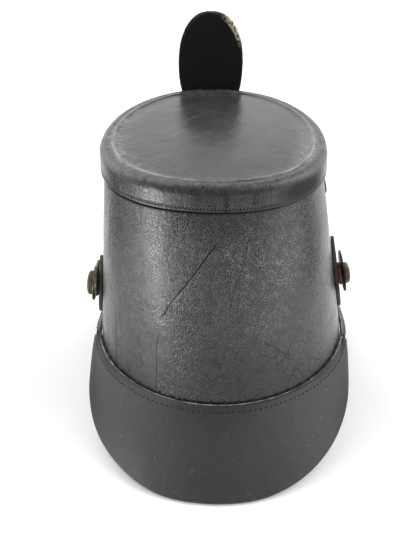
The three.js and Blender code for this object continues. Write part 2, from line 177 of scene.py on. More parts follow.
# ---- camera, light and floor -----------------------------------------------------------


def set_camera():
    back = Vector((
        math.sin(CAMERA.azimuth) * math.cos(CAMERA.elevation),
        -math.cos(CAMERA.azimuth) * math.cos(CAMERA.elevation),
        math.sin(CAMERA.elevation),
    ))
    level = Vector((math.cos(CAMERA.azimuth), math.sin(CAMERA.azimuth), 0))
    upright = back.cross(level)
    right = math.cos(CAMERA.roll) * level + math.sin(CAMERA.roll) * upright
    up = math.cos(CAMERA.roll) * upright - math.sin(CAMERA.roll) * level
    bpy.ops.object.camera_add()
    camera = bpy.context.object
    camera.name = "camera"
    camera.matrix_world = Matrix((right, up, back)).transposed().to_4x4()
    camera.location = Vector(CAMERA.aim) + back * CAMERA.distance
    camera.data.sensor_width = CAMERA.sensor
    camera.data.lens = CAMERA.sensor / 2 / math.tan(CAMERA.half_view)
    bpy.context.scene.camera = camera


def set_light():
    """A white room for the camera. For the hat it glows in front and at the sides, and is dim
    above and behind the camera."""
    world = bpy.data.worlds.new("studio")
    bpy.context.scene.world = world
    bpy.context.scene.view_settings.view_transform = "Standard"
    world.use_nodes = True
    room = Bench(world.node_tree)
    heading = room.node("ShaderNodeTexCoord", output="Generated")
    across, ahead, up = (room.part(heading, axis) for axis in "XYZ")
    walls = room.smooth(ahead, -0.75, 0.5) * (1 - room.smooth(up, 0.35, 0.95))
    sides = room.smooth(across.magnitude(), 0.35, 0.95) * (1 - room.smooth(up, 0.3, 0.9))
    glow = 0.3 + walls + 0.5 * sides
    seen = room.node("ShaderNodeLightPath", output="Is Camera Ray")
    strength = seen + (1 - seen) * glow
    light = room.node("ShaderNodeBackground", {}, {"Color": (1, 1, 1, 1), "Strength": strength})
    room.node("ShaderNodeOutputWorld", {}, {"Surface": light}, output=None)
    softbox("key", place=(-0.9, 0.5, 1.4), size=(1.6, 1.6), power=14)
    softbox("fill", place=(1.1, 0.2, 1.3), size=(1.4, 1.4), power=13)
    gleam = softbox("gleam", place=(-0.19, -0.19, 0.078), size=(0.06, 0.10), power=0.26)
    gleam.visible_diffuse = False


def softbox(name, place, size, power):
    bpy.ops.object.light_add(type="AREA", location=place)
    box = bpy.context.object
    box.name = name
    box.data.shape = "RECTANGLE"
    box.data.size, box.data.size_y = size
    box.data.energy = power
    box.rotation_euler = Vector(place).to_track_quat("Z", "Y").to_euler()
    box.visible_camera = False
    return box


def dark_card(name, start, end):
    """A dark card that stands at the hat's side from start to end, seen only in the hat's gloss."""
    put_down()
    bpy.ops.mesh.primitive_plane_add(size=1)
    card = bpy.context.object
    card.name = name
    along = Vector(end) - Vector(start)
    middle = (Vector(start) + Vector(end)) / 2
    turn = -math.atan2(along.y, along.x)
    bpy.ops.object.mode_set(mode="EDIT")
    bpy.ops.transform.resize(value=(along.length, CARD_HEIGHT, 1))
    bpy.ops.transform.rotate(value=math.pi / 2, orient_axis="X", center_override=(0, 0, 0))
    bpy.ops.transform.rotate(value=turn, orient_axis="Z", center_override=(0, 0, 0))
    bpy.ops.transform.translate(value=(middle.x, middle.y, CARD_HEIGHT / 2 + CARD_LIFT))
    bpy.ops.object.mode_set(mode="OBJECT")
    black = Finish(name)
    black.surface(colour=(0.03, 0.03, 0.03, 1), roughness=0.9)
    black.dress(card)
    card.visible_camera = False
    card.visible_diffuse = False
    card.visible_shadow = False


def lay_floor():
    """White paper with a faint glow of its own, so that the hat's shadow stays pale."""
    bpy.ops.mesh.primitive_plane_add(size=1)
    floor = bpy.context.object
    floor.name = "floor"
    bpy.ops.object.mode_set(mode="EDIT")
    bpy.ops.transform.resize(value=(FLOOR.width, FLOOR.length, 1))
    bpy.ops.transform.translate(value=(0, FLOOR.middle_y, FLOOR.z))
    bpy.ops.object.mode_set(mode="OBJECT")
    paper = Finish("white_paper")
    grain = paper.noise(paper.place(), 900, 3)
    white = paper.blend(grain, (0.86, 0.86, 0.86), (0.9, 0.9, 0.895))
    paper.surface(white, 0.9, Emission_Color=(1, 1, 1, 1), Emission_Strength=FLOOR.glow)
    paper.dress(floor)


# ---- shader maths ----------------------------------------------------------------------


class Reading:
    """One output of a node. Arithmetic on it adds Math nodes."""

    def __init__(self, bench, socket):
        self.bench = bench
        self.socket = socket

    def maths(self, operation, *others):
        values = {i: value for i, value in enumerate((self, *others))}
        return self.bench.node("ShaderNodeMath", {"operation": operation}, values)

    def __add__(self, other):
        return self.maths("ADD", other)

    __radd__ = __add__

    def __mul__(self, other):
        return self.maths("MULTIPLY", other)

    __rmul__ = __mul__

    def __sub__(self, other):
        return self.maths("SUBTRACT", other)

    def __rsub__(self, other):
        return self.bench.node("ShaderNodeMath", {"operation": "SUBTRACT"}, {0: other, 1: self})

    def __truediv__(self, other):
        return self.maths("DIVIDE", other)

    def __pow__(self, other):
        return self.maths("POWER", other)

    def magnitude(self):
        return self.maths("ABSOLUTE")

    def most(self, other):
        return self.maths("MAXIMUM", other)


class Bench:
    """A node tree, with one method that adds any node."""

    def __init__(self, tree):
        self.tree = tree
        tree.nodes.clear()

    def node(self, kind, settings=None, sockets=None, output=0):
        made = self.tree.nodes.new(kind)
        for name, value in (settings or {}).items():
            setattr(made, name, value)
        for name, value in (sockets or {}).items():
            if isinstance(value, Reading):
                self.tree.links.new(value.socket, made.inputs[name])
            else:
                made.inputs[name].default_value = value
        return None if output is None else Reading(self, made.outputs[output])

    def part(self, vector, axis):
        return self.node("ShaderNodeSeparateXYZ", {}, {"Vector": vector}, output=axis)

    def smooth(self, value, low, high):
        """0 below low, 1 above high and smooth between them; high may be the lower one."""
        return self.node(
            "ShaderNodeMapRange", {"interpolation_type": "SMOOTHSTEP"},
            {"Value": value, "From Min": low, "From Max": high},
        )

    def blend(self, share, a, b):
        colours = {i: self.shade(colour) for i, colour in ((6, a), (7, b))}
        return self.node("ShaderNodeMix", {"data_type": "RGBA"}, {0: share, **colours}, output=2)

    @staticmethod
    def shade(colour):
        return colour if isinstance(colour, Reading) else (*colour, 1)


class Finish(Bench):
    """A piece's material."""

    def __init__(self, name):
        self.material = bpy.data.materials.new(name)
        self.material.use_nodes = True
        super().__init__(self.material.node_tree)

    def place(self):
        return self.node("ShaderNodeTexCoord", output="Object")

    def lay(self):
        """Where the leather lay on the round block."""
        return self.node("ShaderNodeAttribute", {"attribute_name": "lay"}, output="Vector")

    def stretch(self, vector, scale):
        return self.node("ShaderNodeMapping", {}, {"Vector": vector, "Scale": scale})

    def noise(self, vector, scale, detail=4, roughness=0.55):
        sockets = {"Vector": vector, "Scale": scale, "Detail": detail, "Roughness": roughness}
        return self.node("ShaderNodeTexNoise", {}, sockets)

    def patches(self, vector, scale, detail, low, high, roughness=0.55):
        """Ragged patches of 1 on 0, from noise between low and high."""
        return self.smooth(self.noise(vector, scale, detail, roughness), low, high)

    def wander(self, vector, scale, amount):
        """The vector pushed about by noise, so that lines on it aren't straight."""
        colour = self.node("ShaderNodeTexNoise", {}, {"Vector": vector, "Scale": scale}, output="Color")
        centred = self.node(
            "ShaderNodeVectorMath", {"operation": "SUBTRACT"}, {0: colour, 1: (0.5, 0.5, 0.5)})
        sway = self.node("ShaderNodeVectorMath", {"operation": "SCALE"}, {0: centred, "Scale": amount})
        return self.node("ShaderNodeVectorMath", {"operation": "ADD"}, {0: vector, 1: sway})

    def crackle(self, vector, scale, line):
        """1 on the lines between the cells of a cracked surface, line wide as a share of a cell."""
        edge = self.node(
            "ShaderNodeTexVoronoi", {"feature": "DISTANCE_TO_EDGE"}, {"Vector": vector, "Scale": scale})
        return 1 - self.smooth(edge, 0, line)

    def within(self, vector, centre, reach):
        """1 near the centre, fading to 0 at reach, which is a distance for each axis."""
        away = self.node("ShaderNodeVectorMath", {"operation": "SUBTRACT"}, {0: vector, 1: centre})
        share = self.node("ShaderNodeVectorMath", {"operation": "DIVIDE"}, {0: away, 1: reach})
        length = self.node("ShaderNodeVectorMath", {"operation": "LENGTH"}, {0: share}, output="Value")
        return 1 - self.smooth(length, 0.35, 1)

    def bump(self, height, depth, strength=1.0, over=None):
        sockets = {"Height": height, "Distance": depth, "Strength": strength}
        if over is not None:
            sockets["Normal"] = over
        return self.node("ShaderNodeBump", {}, sockets)

    def surface(self, colour, roughness, normal=None, metallic=0.0, gloss=0.5, dull_and_shaded=None, **coats):
        """dull_and_shaded is 1 where the surface turns dull and near black: for real cracks and soot, and
        as painted shade in grooves, creases and under edges.
        """
        sockets = {"Base Color": colour, "Roughness": roughness, "Metallic": metallic}
        sockets["Specular IOR Level"] = gloss
        if normal is not None:
            sockets["Normal"] = normal
        sockets.update({name.replace("_", " "): value for name, value in coats.items()})
        shader = self.node("ShaderNodeBsdfPrincipled", {}, sockets)
        if dull_and_shaded is not None:
            # A dull near-black finish for cracks and soot, and for painted shade.
            dull_shade = {"Base Color": (0.006, 0.006, 0.006, 1), "Roughness": 1.0, "Specular IOR Level": 0.05}
            dull = self.node("ShaderNodeBsdfPrincipled", {}, dull_shade)
            shader = self.node("ShaderNodeMixShader", {}, {0: dull_and_shaded, 1: shader, 2: dull})
        self.node("ShaderNodeOutputMaterial", {}, {"Surface": shader}, output=None)

    def dress(self, *pieces):
        for piece in pieces:
            piece.data.materials.clear()
            piece.data.materials.append(self.material)


# ---- finishes --------------------------------------------------------------------------


def split_line(finish, place, split):
    """1 on a split that wanders down the back of the hat."""
    wandering = finish.wander(place, 45, 5 * MM)
    x = finish.part(wandering, "X") - split.start[0]
    z = finish.part(wandering, "Z") - split.start[1]
    run = Vector(split.end) - Vector(split.start)
    length = run.length
    along = (x * run.x + z * run.y) / length
    off = (x * run.y - z * run.x) / length
    near = 1 - finish.smooth(off.magnitude(), 0, split.width)
    ends = finish.smooth(along, 0, 0.1 * length) * (1 - finish.smooth(along, 0.85 * length, length))
    behind = 1 - finish.smooth(finish.part(place, "Y"), -45 * MM, -30 * MM)
    return near * ends * behind * split.plain


def all_splits(finish, place):
    first, *rest = (split_line(finish, place, split) for split in SPLITS)
    for line in rest:
        first = first.most(line)
    return first


def dark_webs(finish, place, wear):
    """Open cracks like a web, round the right of the foot and in the foot's worn places."""
    coarse = finish.crackle(finish.wander(place, 120, 5 * MM), 110, 0.05)
    broken = finish.patches(place, 55, 3, 0.4, 0.6)
    foot = 1 - finish.smooth(finish.part(place, "Z"), 55 * MM, 85 * MM)
    right = finish.within(place, (48 * MM, -75 * MM, 55 * MM), (36 * MM, 60 * MM, 34 * MM))
    return coarse * broken * (0.04 + 0.55 * right.most(foot * (0.25 + 0.75 * wear)))


def body_leather():
    """Varnish crazed all over, pale in the cracks, with webs and a few long splits; painted shade towards
    the foot, at the flanks and under the crown's band, and a painted highlight in two patches at the right.
    """
    finish = Finish("crazed_black_leather")
    place = finish.place()
    side, height = finish.part(place, "X"), finish.part(place, "Z")
    cloud = finish.noise(place, 16, 5)
    wear = finish.smooth(cloud, 0.42, 0.62)
    foot = 1 - finish.smooth(height, 50 * MM, 95 * MM)
    flanks = 1 - finish.smooth(side, -72 * MM, -45 * MM)
    flanks = flanks.most(0.6 * finish.smooth(side, 42 * MM, 66 * MM))
    # Painted highlight: two patches at the right where the dust in the crazing is made lighter.
    highlight_patches = finish.within(place, (33 * MM, -80 * MM, 128 * MM), (38 * MM, 60 * MM, 40 * MM))
    highlight_patches = highlight_patches.most(finish.within(place, (36 * MM, -80 * MM, 92 * MM), (16 * MM, 40 * MM, 14 * MM)))

    # Dark marks: webs, splits and creases up the leather, with painted shade under the crown's band.
    webs = dark_webs(finish, place, wear)
    splits = all_splits(finish, place)
    dull_shade = finish.smooth(height, CROWN.band_bottom - 4 * MM, CROWN.band_bottom - 2 * MM)
    creases = finish.patches(finish.stretch(place, (1, 1, 0.08)), 260, 4, 0.5, 0.7)
    creases = creases * (0.3 + 0.7 * (1 - finish.smooth(side, -75 * MM, -48 * MM)))
    # Dull near black in the splits and webs, and as painted shade under the crown's band and in the creases
    # at the flanks.
    dull_and_shaded = splits.most(dull_shade).most(webs * 0.8).most(creases * flanks * 0.5)

    # Pale marks: dust in the fine crazing, lighter in the painted highlight patches, and specks.
    fine = finish.crackle(finish.wander(place, 430, 1.5 * MM), 640, 0.17)
    patchy = finish.patches(place, 210, 4, 0.3, 0.7)
    dust_and_highlight = fine * (0.25 + 0.75 * patchy) * (0.36 + 0.36 * wear + 0.5 * highlight_patches)
    # The dust is less where the foot and the flanks take painted shade.
    dust_and_highlight = dust_and_highlight * (1 - (0.8 * foot).most(0.5 * flanks))
    specks = finish.patches(place, 520, 2, 0.75, 0.8)

    colour = finish.blend(cloud, (0.012, 0.012, 0.014), (0.032, 0.032, 0.035))
    # Painted shade: darker towards the foot and at both flanks.
    colour = finish.blend(foot.most(flanks) * 0.6, colour, (0.007, 0.007, 0.008))
    colour = finish.blend(dust_and_highlight, colour, (0.26, 0.26, 0.258))
    colour = finish.blend(creases * 0.16, colour, (0.16, 0.16, 0.16))
    # Near black in the webs and splits, and painted shade under the crown's band.
    colour = finish.blend((webs * 0.7).most(splits * 0.9).most(dull_shade), colour, (0.004, 0.004, 0.005))
    colour = finish.blend(specks * 0.6, colour, (0.26, 0.25, 0.24))

    wrinkles = finish.noise(finish.wander(place, 90, 6 * MM), 240, 4, 0.6)
    skin = finish.bump(wrinkles + 0.5 * creases, 0.55 * MM, 0.65)
    crazed = finish.bump(0 - fine, 0.11 * MM, 0.7, skin)
    normal = finish.bump(0 - webs.most(splits * 0.6), 0.16 * MM, 0.8, crazed)
    rough = 0.14 + 0.1 * wear + 0.14 * finish.noise(place, 70, 4) + 0.2 * dust_and_highlight + 0.4 * dull_shade
    finish.surface(colour, rough, normal, gloss=0.8, dull_and_shaded=dull_and_shaded)
    return finish


def ridge_rub_and_highlight(finish, place, radius):
    """1 where the crown's ridge is rubbed pale, partly wear and partly a painted highlight, most at its
    back, the side towards the camera.
    """
    ridge = BLOCK_RADIUS - CROWN.ridge_inset
    line = 1 - finish.smooth((radius - ridge).magnitude(), 0.1 * MM, 1.3 * MM)
    near = 1 - finish.smooth(finish.part(place, "Y"), -30 * MM, 30 * MM)
    return line * finish.patches(place, 60, 5, 0.4, 0.62) * (0.25 + 0.75 * near)


def rim_wear(finish, place, radius, mottle):
    """1 where the top's rim is worn pale: in mottles at the left, in a wide band at the right."""
    left = finish.within(place, (-62 * MM, -12 * MM, 183 * MM), (34 * MM, 66 * MM, 30 * MM))
    right = finish.within(place, (58 * MM, -14 * MM, 183 * MM), (26 * MM, 50 * MM, 30 * MM))
    rim = finish.smooth(radius, 74 * MM, 88 * MM) * (1 - finish.smooth(radius, 93 * MM, 98 * MM))
    return rim * (left * mottle).most(right * (0.35 + 0.65 * mottle)).most(0.22 * mottle)


def crown_leather():
    """Smoother varnish, rubbed along the ridge with a painted highlight, worn pale on the rim and grimy
    round the band, with painted shade on the rolled edge, the band, its groove and hem, and a painted
    reflection on the band.
    """
    finish = Finish("worn_crown_leather")
    place, lay = finish.place(), finish.lay()
    flat = finish.stretch(lay, (1, 1, 0))
    radius = finish.node("ShaderNodeVectorMath", {"operation": "LENGTH"}, {0: flat}, output="Value")
    height = finish.part(lay, "Z")
    on_top = finish.smooth(height, CROWN.top - 6 * MM, CROWN.top - 2 * MM)
    band = 1 - on_top
    shoulder = finish.smooth(radius, 92.5 * MM, 95.5 * MM) * on_top
    mottle = finish.patches(place, 170, 6, 0.4, 0.65, 0.7)

    # The top: cloth marks, smears and scratches that run aslant, and worn places; the ridge's rubbing
    # carries a painted highlight.
    slant = finish.node("ShaderNodeMapping", {}, {"Vector": place, "Rotation": (0, 0, -0.8)})
    brushed = finish.noise(finish.stretch(slant, (0.45, 1.3, 1)), 80, 6)
    smears = finish.patches(finish.wander(place, 30, 8 * MM), 42, 7, 0.35, 0.7, 0.7)
    scratch = finish.noise(finish.stretch(slant, (0.1, 2.2, 1)), 240, 4)
    left_half = 1 - finish.smooth(finish.part(place, "X"), -35 * MM, 10 * MM)
    scratches = finish.smooth(scratch, 0.58, 0.68) * on_top * (0.12 + 0.88 * left_half)
    rub_and_highlight = ridge_rub_and_highlight(finish, place, radius) * on_top
    worn_rim = rim_wear(finish, place, radius, mottle) * on_top
    craze = finish.crackle(finish.wander(place, 300, 2 * MM), 380, 0.22)
    pits = finish.patches(place, 230, 6, 0.55, 0.68, 0.7) * shoulder

    # The band: strokes and creases down it, grime, its stitched groove and its lower edge, a painted
    # reflection at its left, and painted shade in the groove, along the lower edge and in the creases.
    strokes = finish.patches(finish.stretch(lay, (1, 1, 0.12)), 330, 4, 0.5, 0.7) * band
    creases = finish.patches(finish.stretch(lay, (1, 1, 0.14)), 250, 4, 0.56, 0.68) * band
    grime = finish.patches(finish.stretch(lay, (1, 1, 0.3)), 60, 5, 0.45, 0.6) * band
    painted_reflection = finish.within(place, (-34 * MM, -75 * MM, 171.5 * MM), (27 * MM, 30 * MM, 9 * MM)) * band
    sooty = finish.within(place, (55 * MM, -58 * MM, 172 * MM), (24 * MM, 32 * MM, 11 * MM)) * band
    groove = finish.smooth((height - BAND_GROOVE_Z).magnitude(), 0.9 * MM, 0.3 * MM) * band
    hem = finish.smooth(height, CROWN.band_bottom + 1.1 * MM, CROWN.band_bottom + 0.3 * MM)
    # Made dull and near black: painted shade in the groove, along the lower edge and in the creases, and
    # the soot and the pits.
    dull_and_shaded = (groove * 0.5).most(hem).most(sooty * 0.45).most(creases * 0.4).most(pits * 0.4)
    fine = finish.crackle(finish.wander(place, 420, 1.3 * MM), 560, 0.14)
    fine = fine * (0.15 + 0.6 * band.most(shoulder))

    colour = finish.blend(brushed, (0.022, 0.022, 0.023), (0.050, 0.050, 0.051))
    colour = finish.blend(smears * 0.5, colour, (0.080, 0.080, 0.079))
    # Painted shade: the band darker than the top.
    colour = finish.blend(band * 0.85, colour, (0.014, 0.014, 0.016))
    colour = finish.blend(grime * 0.8, colour, (0.004, 0.004, 0.005))
    colour = finish.blend(strokes * 0.4, colour, (0.11, 0.11, 0.11))
    # Painted dark reflection: the rolled edge near black, with paler mottles.
    colour = finish.blend(shoulder * 0.8, colour, (0.006, 0.006, 0.007))
    colour = finish.blend(shoulder * mottle * 0.3, colour, (0.10, 0.10, 0.10))
    colour = finish.blend(worn_rim * (0.4 + 0.6 * craze), colour, (0.29, 0.29, 0.285))
    # Paler along the ridge: rubbing, with a painted highlight most at the back.
    colour = finish.blend(rub_and_highlight * 0.85, colour, (0.36, 0.36, 0.355))
    # Painted reflection: a pale bluish patch on the band at its left.
    colour = finish.blend(painted_reflection * (0.35 + 0.35 * mottle), colour, (0.15, 0.155, 0.165))
    colour = finish.blend(sooty * 0.8, colour, (0.004, 0.004, 0.004))
    colour = finish.blend(scratches * 0.34, colour, (0.17, 0.17, 0.168))
    # Painted shade in the stitched groove and along the band's lower edge.
    colour = finish.blend(groove.most(hem) * 0.85, colour, (0.005, 0.005, 0.006))
    colour = finish.blend(fine * 0.35, colour, (0.13, 0.13, 0.13))

    dents = finish.noise(finish.wander(place, 80, 6 * MM), 240, 5, 0.6)
    skin = finish.bump(dents * (0.7 + 1.3 * shoulder.most(band)) + 0.15 * scratch, 0.4 * MM, 0.6)
    crazed = finish.bump(0 - fine.most(worn_rim * craze), 0.1 * MM, 0.8, skin)
    rough = 0.09 + 0.14 * brushed + 0.25 * worn_rim.most(sooty) + 0.18 * finish.noise(place, 60, 5)
    finish.surface(colour, rough, crazed, gloss=0.75, dull_and_shaded=dull_and_shaded)
    return finish


def peak_leather():
    """Satin leather with a fine tight grain, scuffs and a few pale dots."""
    finish = Finish("satin_peak_leather")
    place = finish.place()
    cloud = finish.noise(place, 14, 5)
    grain = finish.noise(place, 1100, 3)
    pores = finish.crackle(finish.wander(place, 500, 1 * MM), 900, 0.2)
    scuffs = finish.patches(finish.stretch(place, (1, 1, 0.4)), 150, 6, 0.62, 0.78)
    dots = finish.patches(place, 420, 1, 0.76, 0.8)
    colour = finish.blend(cloud, (0.018, 0.018, 0.018), (0.036, 0.036, 0.036))
    colour = finish.blend(scuffs * 0.6, colour, (0.10, 0.10, 0.098))
    colour = finish.blend(dots * 0.5, colour, (0.22, 0.21, 0.2))
    waves = finish.noise(finish.wander(place, 60, 6 * MM), 130, 5, 0.6)
    skin = finish.bump(grain + 3 * waves, 0.16 * MM, 0.7)
    normal = finish.bump(0 - pores, 0.06 * MM, 0.5, skin)
    rough = 0.4 + 0.14 * cloud + 0.1 * scuffs
    finish.surface(colour, rough, normal, gloss=0.55)
    return finish


def strap_leather():
    """Worn brown leather, cracked across."""
    finish = Finish("brown_black_strap_leather")
    place = finish.place()
    cloud = finish.noise(place, 45, 5)
    cracks = finish.crackle(finish.wander(place, 160, 3 * MM), 330, 0.09)
    colour = finish.blend(cloud, (0.07, 0.058, 0.05), (0.18, 0.148, 0.122))
    colour = finish.blend(cracks * 0.7, colour, (0.03, 0.025, 0.021))
    skin = finish.bump(finish.noise(place, 700, 3), 0.1 * MM, 0.5)
    normal = finish.bump(0 - cracks, 0.15 * MM, 0.8, skin)
    finish.surface(colour, 0.45 + 0.2 * cloud, normal)
    return finish


def badge_cloth():
    """Black felted cloth: no gloss, a short nap, and an edge that frays pale at the upper right."""
    finish = Finish("black_badge_cloth")
    place = finish.place()
    nap = finish.noise(place, 1500, 4, 0.7)
    weave = finish.noise(finish.stretch(place, (1, 1, 0.35)), 1900, 2)
    lint = finish.patches(place, 700, 2, 0.72, 0.8)
    across = (finish.part(place, "X") - BADGE.x) / BADGE.half_width
    upward = (finish.part(place, "Z") - BADGE.z) / BADGE.half_height
    reach = (across * across + upward * upward) ** 0.5
    rim = finish.smooth(reach, 0.955, 0.99) * finish.patches(place, 260, 4, 0.3, 0.6)
    upper_right = (BADGE.x + 15 * MM, BADGE.y, BADGE.z + 29 * MM)
    corner = finish.within(place, upper_right, (12 * MM, 20 * MM, 16 * MM))
    fray = corner * finish.smooth(reach, 0.95, 0.99) * finish.patches(place, 600, 4, 0.4, 0.55)
    colour = finish.blend(nap, (0.006, 0.006, 0.0065), (0.020, 0.020, 0.021))
    colour = finish.blend(lint * 0.35, colour, (0.06, 0.058, 0.055))
    colour = finish.blend(rim * 0.15, colour, (0.12, 0.115, 0.11))
    colour = finish.blend(fray, colour, (0.66, 0.58, 0.42))
    normal = finish.bump(nap + weave, 0.25 * MM, 0.8)
    finish.surface(colour, 0.95, normal, gloss=0.12, Sheen_Weight=0.06, Sheen_Roughness=0.6)
    return finish


def metal(name, dark, light, rust, rust_share, metallic=0.85):
    """Old metal: tarnish in blotches, with rust or dirt in the low places."""
    finish = Finish(name)
    place = finish.place()
    blotch = finish.patches(place, 190, 6, 0.35, 0.65)
    pits = finish.patches(place, 800, 4, 0.5, 0.7)
    rusted = finish.patches(place, 120, 5, 0.62 - 0.3 * rust_share, 0.72 - 0.2 * rust_share)
    colour = finish.blend(blotch, dark, light)
    colour = finish.blend(rusted * 0.9, colour, rust)
    bare = 1 - rusted.most(pits * 0.5)
    normal = finish.bump(0 - pits, 0.2 * MM, 0.7)
    finish.surface(colour, 0.62 - 0.22 * bare, normal, metallic=bare * metallic)
    return finish


def painted_ring():
    """Red paint, chipped down to the rusty metal."""
    finish = Finish("worn_red_paint")
    place = finish.place()
    chips = finish.patches(place, 330, 5, 0.5, 0.62)
    colour = finish.blend(finish.noise(place, 90, 3), (0.55, 0.12, 0.10), (0.68, 0.27, 0.23))
    colour = finish.blend(chips, colour, (0.11, 0.08, 0.06))
    finish.surface(colour, 0.5 + 0.2 * chips, finish.bump(0 - chips, 0.15 * MM, 0.7))
    return finish


def thread(name, dark, light):
    finish = Finish(name)
    twist = finish.noise(finish.place(), 1500, 2)
    colour = finish.blend(twist, dark, light)
    finish.surface(colour, 0.7, finish.bump(twist, 0.2 * MM, 0.8))
    return finish


def cut_edge():
    """Bare leather where the flange was cut, paler where it is worn."""
    finish = Finish("bare_cut_edge")
    place = finish.place()
    worn = finish.patches(place, 160, 5, 0.35, 0.65)
    colour = finish.blend(worn, (0.08, 0.08, 0.08), (0.55, 0.54, 0.52))
    normal = finish.bump(finish.noise(place, 900, 3), 0.1 * MM, 0.6)
    finish.surface(colour, 0.55, normal)
    return finish


# ---- tools of the bench ----------------------------------------------------------------


def put_down():
    """Nothing stays selected, so that the next tool acts on the new piece alone."""
    if bpy.context.object and bpy.context.object.mode != "OBJECT":
        bpy.ops.object.mode_set(mode="OBJECT")
    bpy.ops.object.select_all(action="DESELECT")


def take_up(piece):
    put_down()
    piece.select_set(True)
    bpy.context.view_layer.objects.active = piece


def edit(piece):
    take_up(piece)
    bpy.ops.object.mode_set(mode="EDIT")
    bpy.ops.mesh.select_mode(type="VERT")


def pick(piece, wanted):
    """Selects the points, in edit mode, that wanted() says yes to."""
    bpy.ops.mesh.select_all(action="DESELECT")
    bpy.ops.object.mode_set(mode="OBJECT")
    for point in piece.data.vertices:
        point.select = wanted(point.co)
    bpy.ops.object.mode_set(mode="EDIT")


def apply(piece, kind, **settings):
    """Adds a modifier with these settings and applies it."""
    take_up(piece)
    modifier = piece.modifiers.new(kind.lower(), kind)
    for name, value in settings.items():
        setattr(modifier, name, value)
    bpy.ops.object.modifier_apply(modifier=modifier.name)


def uneven(piece, depth, size, name):
    """Leaves the surface softly uneven, as handled leather is."""
    waves = bpy.data.textures.new(name, "CLOUDS")
    waves.noise_scale = size
    waves.noise_depth = 2
    apply(piece, "DISPLACE", texture=waves, strength=depth, mid_level=0.5, texture_coords="LOCAL")


def round_off(piece, width, angle=40, segments=2):
    """Bevels every edge sharper than angle."""
    edit(piece)
    bpy.ops.mesh.select_mode(type="EDGE")
    bpy.ops.mesh.select_all(action="DESELECT")
    bpy.ops.mesh.edges_select_sharp(sharpness=math.radians(angle))
    bpy.ops.mesh.bevel(offset=width, segments=segments, affect="EDGES", clamp_overlap=True)
    put_down()


def smooth_over(piece, angle=38):
    take_up(piece)
    bpy.ops.object.shade_smooth_by_angle(angle=math.radians(angle))


def mount(piece, finish, slot, *nodes):
    """Dresses a finished piece, sets it on the hat and lets it stand for its nodes."""
    finish.dress(piece)
    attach(piece, "root")
    if nodes:
        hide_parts(*nodes)
    return piece


def draw_leather(name, profile):
    """Carries a ring of points along a profile of (radius, height) on the round block."""
    put_down()
    radius, height = profile[0]
    bpy.ops.mesh.primitive_circle_add(vertices=ROUND, radius=radius, fill_type="NOTHING")
    piece = bpy.context.object
    piece.name = name
    bpy.ops.object.mode_set(mode="EDIT")
    bpy.ops.transform.translate(value=(0, 0, height))
    for next_radius, next_height in profile[1:]:
        bpy.ops.mesh.extrude_edges_move(
            TRANSFORM_OT_translate={"value": (0, 0, next_height - height)})
        bpy.ops.transform.resize(value=(next_radius / radius, next_radius / radius, 1))
        radius, height = next_radius, next_height
    bpy.ops.object.mode_set(mode="OBJECT")
    return piece


def press_on(piece, place):
    """Presses a drawn piece onto the hat's oval. lay keeps where each point was on the round block."""
    lay = piece.data.attributes.new("lay", "FLOAT_VECTOR", "POINT")
    for point in piece.data.vertices:
        lay.data[point.index].vector = point.co
        angle = math.atan2(point.co.x, point.co.y)
        point.co = place(angle, math.hypot(point.co.x, point.co.y), point.co.z)
    piece.data.update()


def close_up(piece):
    edit(piece)
    bpy.ops.mesh.select_all(action="SELECT")
    bpy.ops.mesh.remove_doubles(threshold=0.01 * MM)
    bpy.ops.mesh.normals_make_consistent(inside=False)
    put_down()


def copy_of(node, name):
    """A piece with the node's shape, its loose triangles joined back into four-sided faces."""
    piece = bpy.data.objects.new(name, frame["nodes"][node].data.copy())
    bpy.context.scene.collection.objects.link(piece)
    edit(piece)
    bpy.ops.mesh.select_all(action="SELECT")
    bpy.ops.mesh.remove_doubles(threshold=0.001 * MM)
    bpy.ops.mesh.customdata_custom_splitnormals_clear()
    bpy.ops.mesh.tris_convert_to_quads(
        face_threshold=math.radians(35), shape_threshold=math.radians(60))
    put_down()
    return piece


# ---- leather pieces --------------------------------------------------------------------


def steps(first, last, size):
    count = max(1, round(abs(last - first) / size))
    return [mix(first, last, i / count) for i in range(count + 1)]


def make_shell(finish):
    inside = BLOCK_RADIUS - SHELL.wall
    turn = 0.7 * MM
    profile = [(inside + turn, SHELL.bottom), (BLOCK_RADIUS - turn, SHELL.bottom)]
    profile += [(BLOCK_RADIUS, z) for z in steps(SHELL.bottom + turn, SHELL.top, 2.5 * MM)]
    profile += [(inside, z) for z in steps(SHELL.top, SHELL.bottom + turn, 7 * MM)]
    profile += [profile[0]]
    shell = draw_leather("body_shell", profile)
    press_on(shell, on_body)
    close_up(shell)
    uneven(shell, 0.9 * MM, 45 * MM, "body_waves")
    smooth_over(shell)
    return mount(shell, finish, "varnished_leather", "shell")


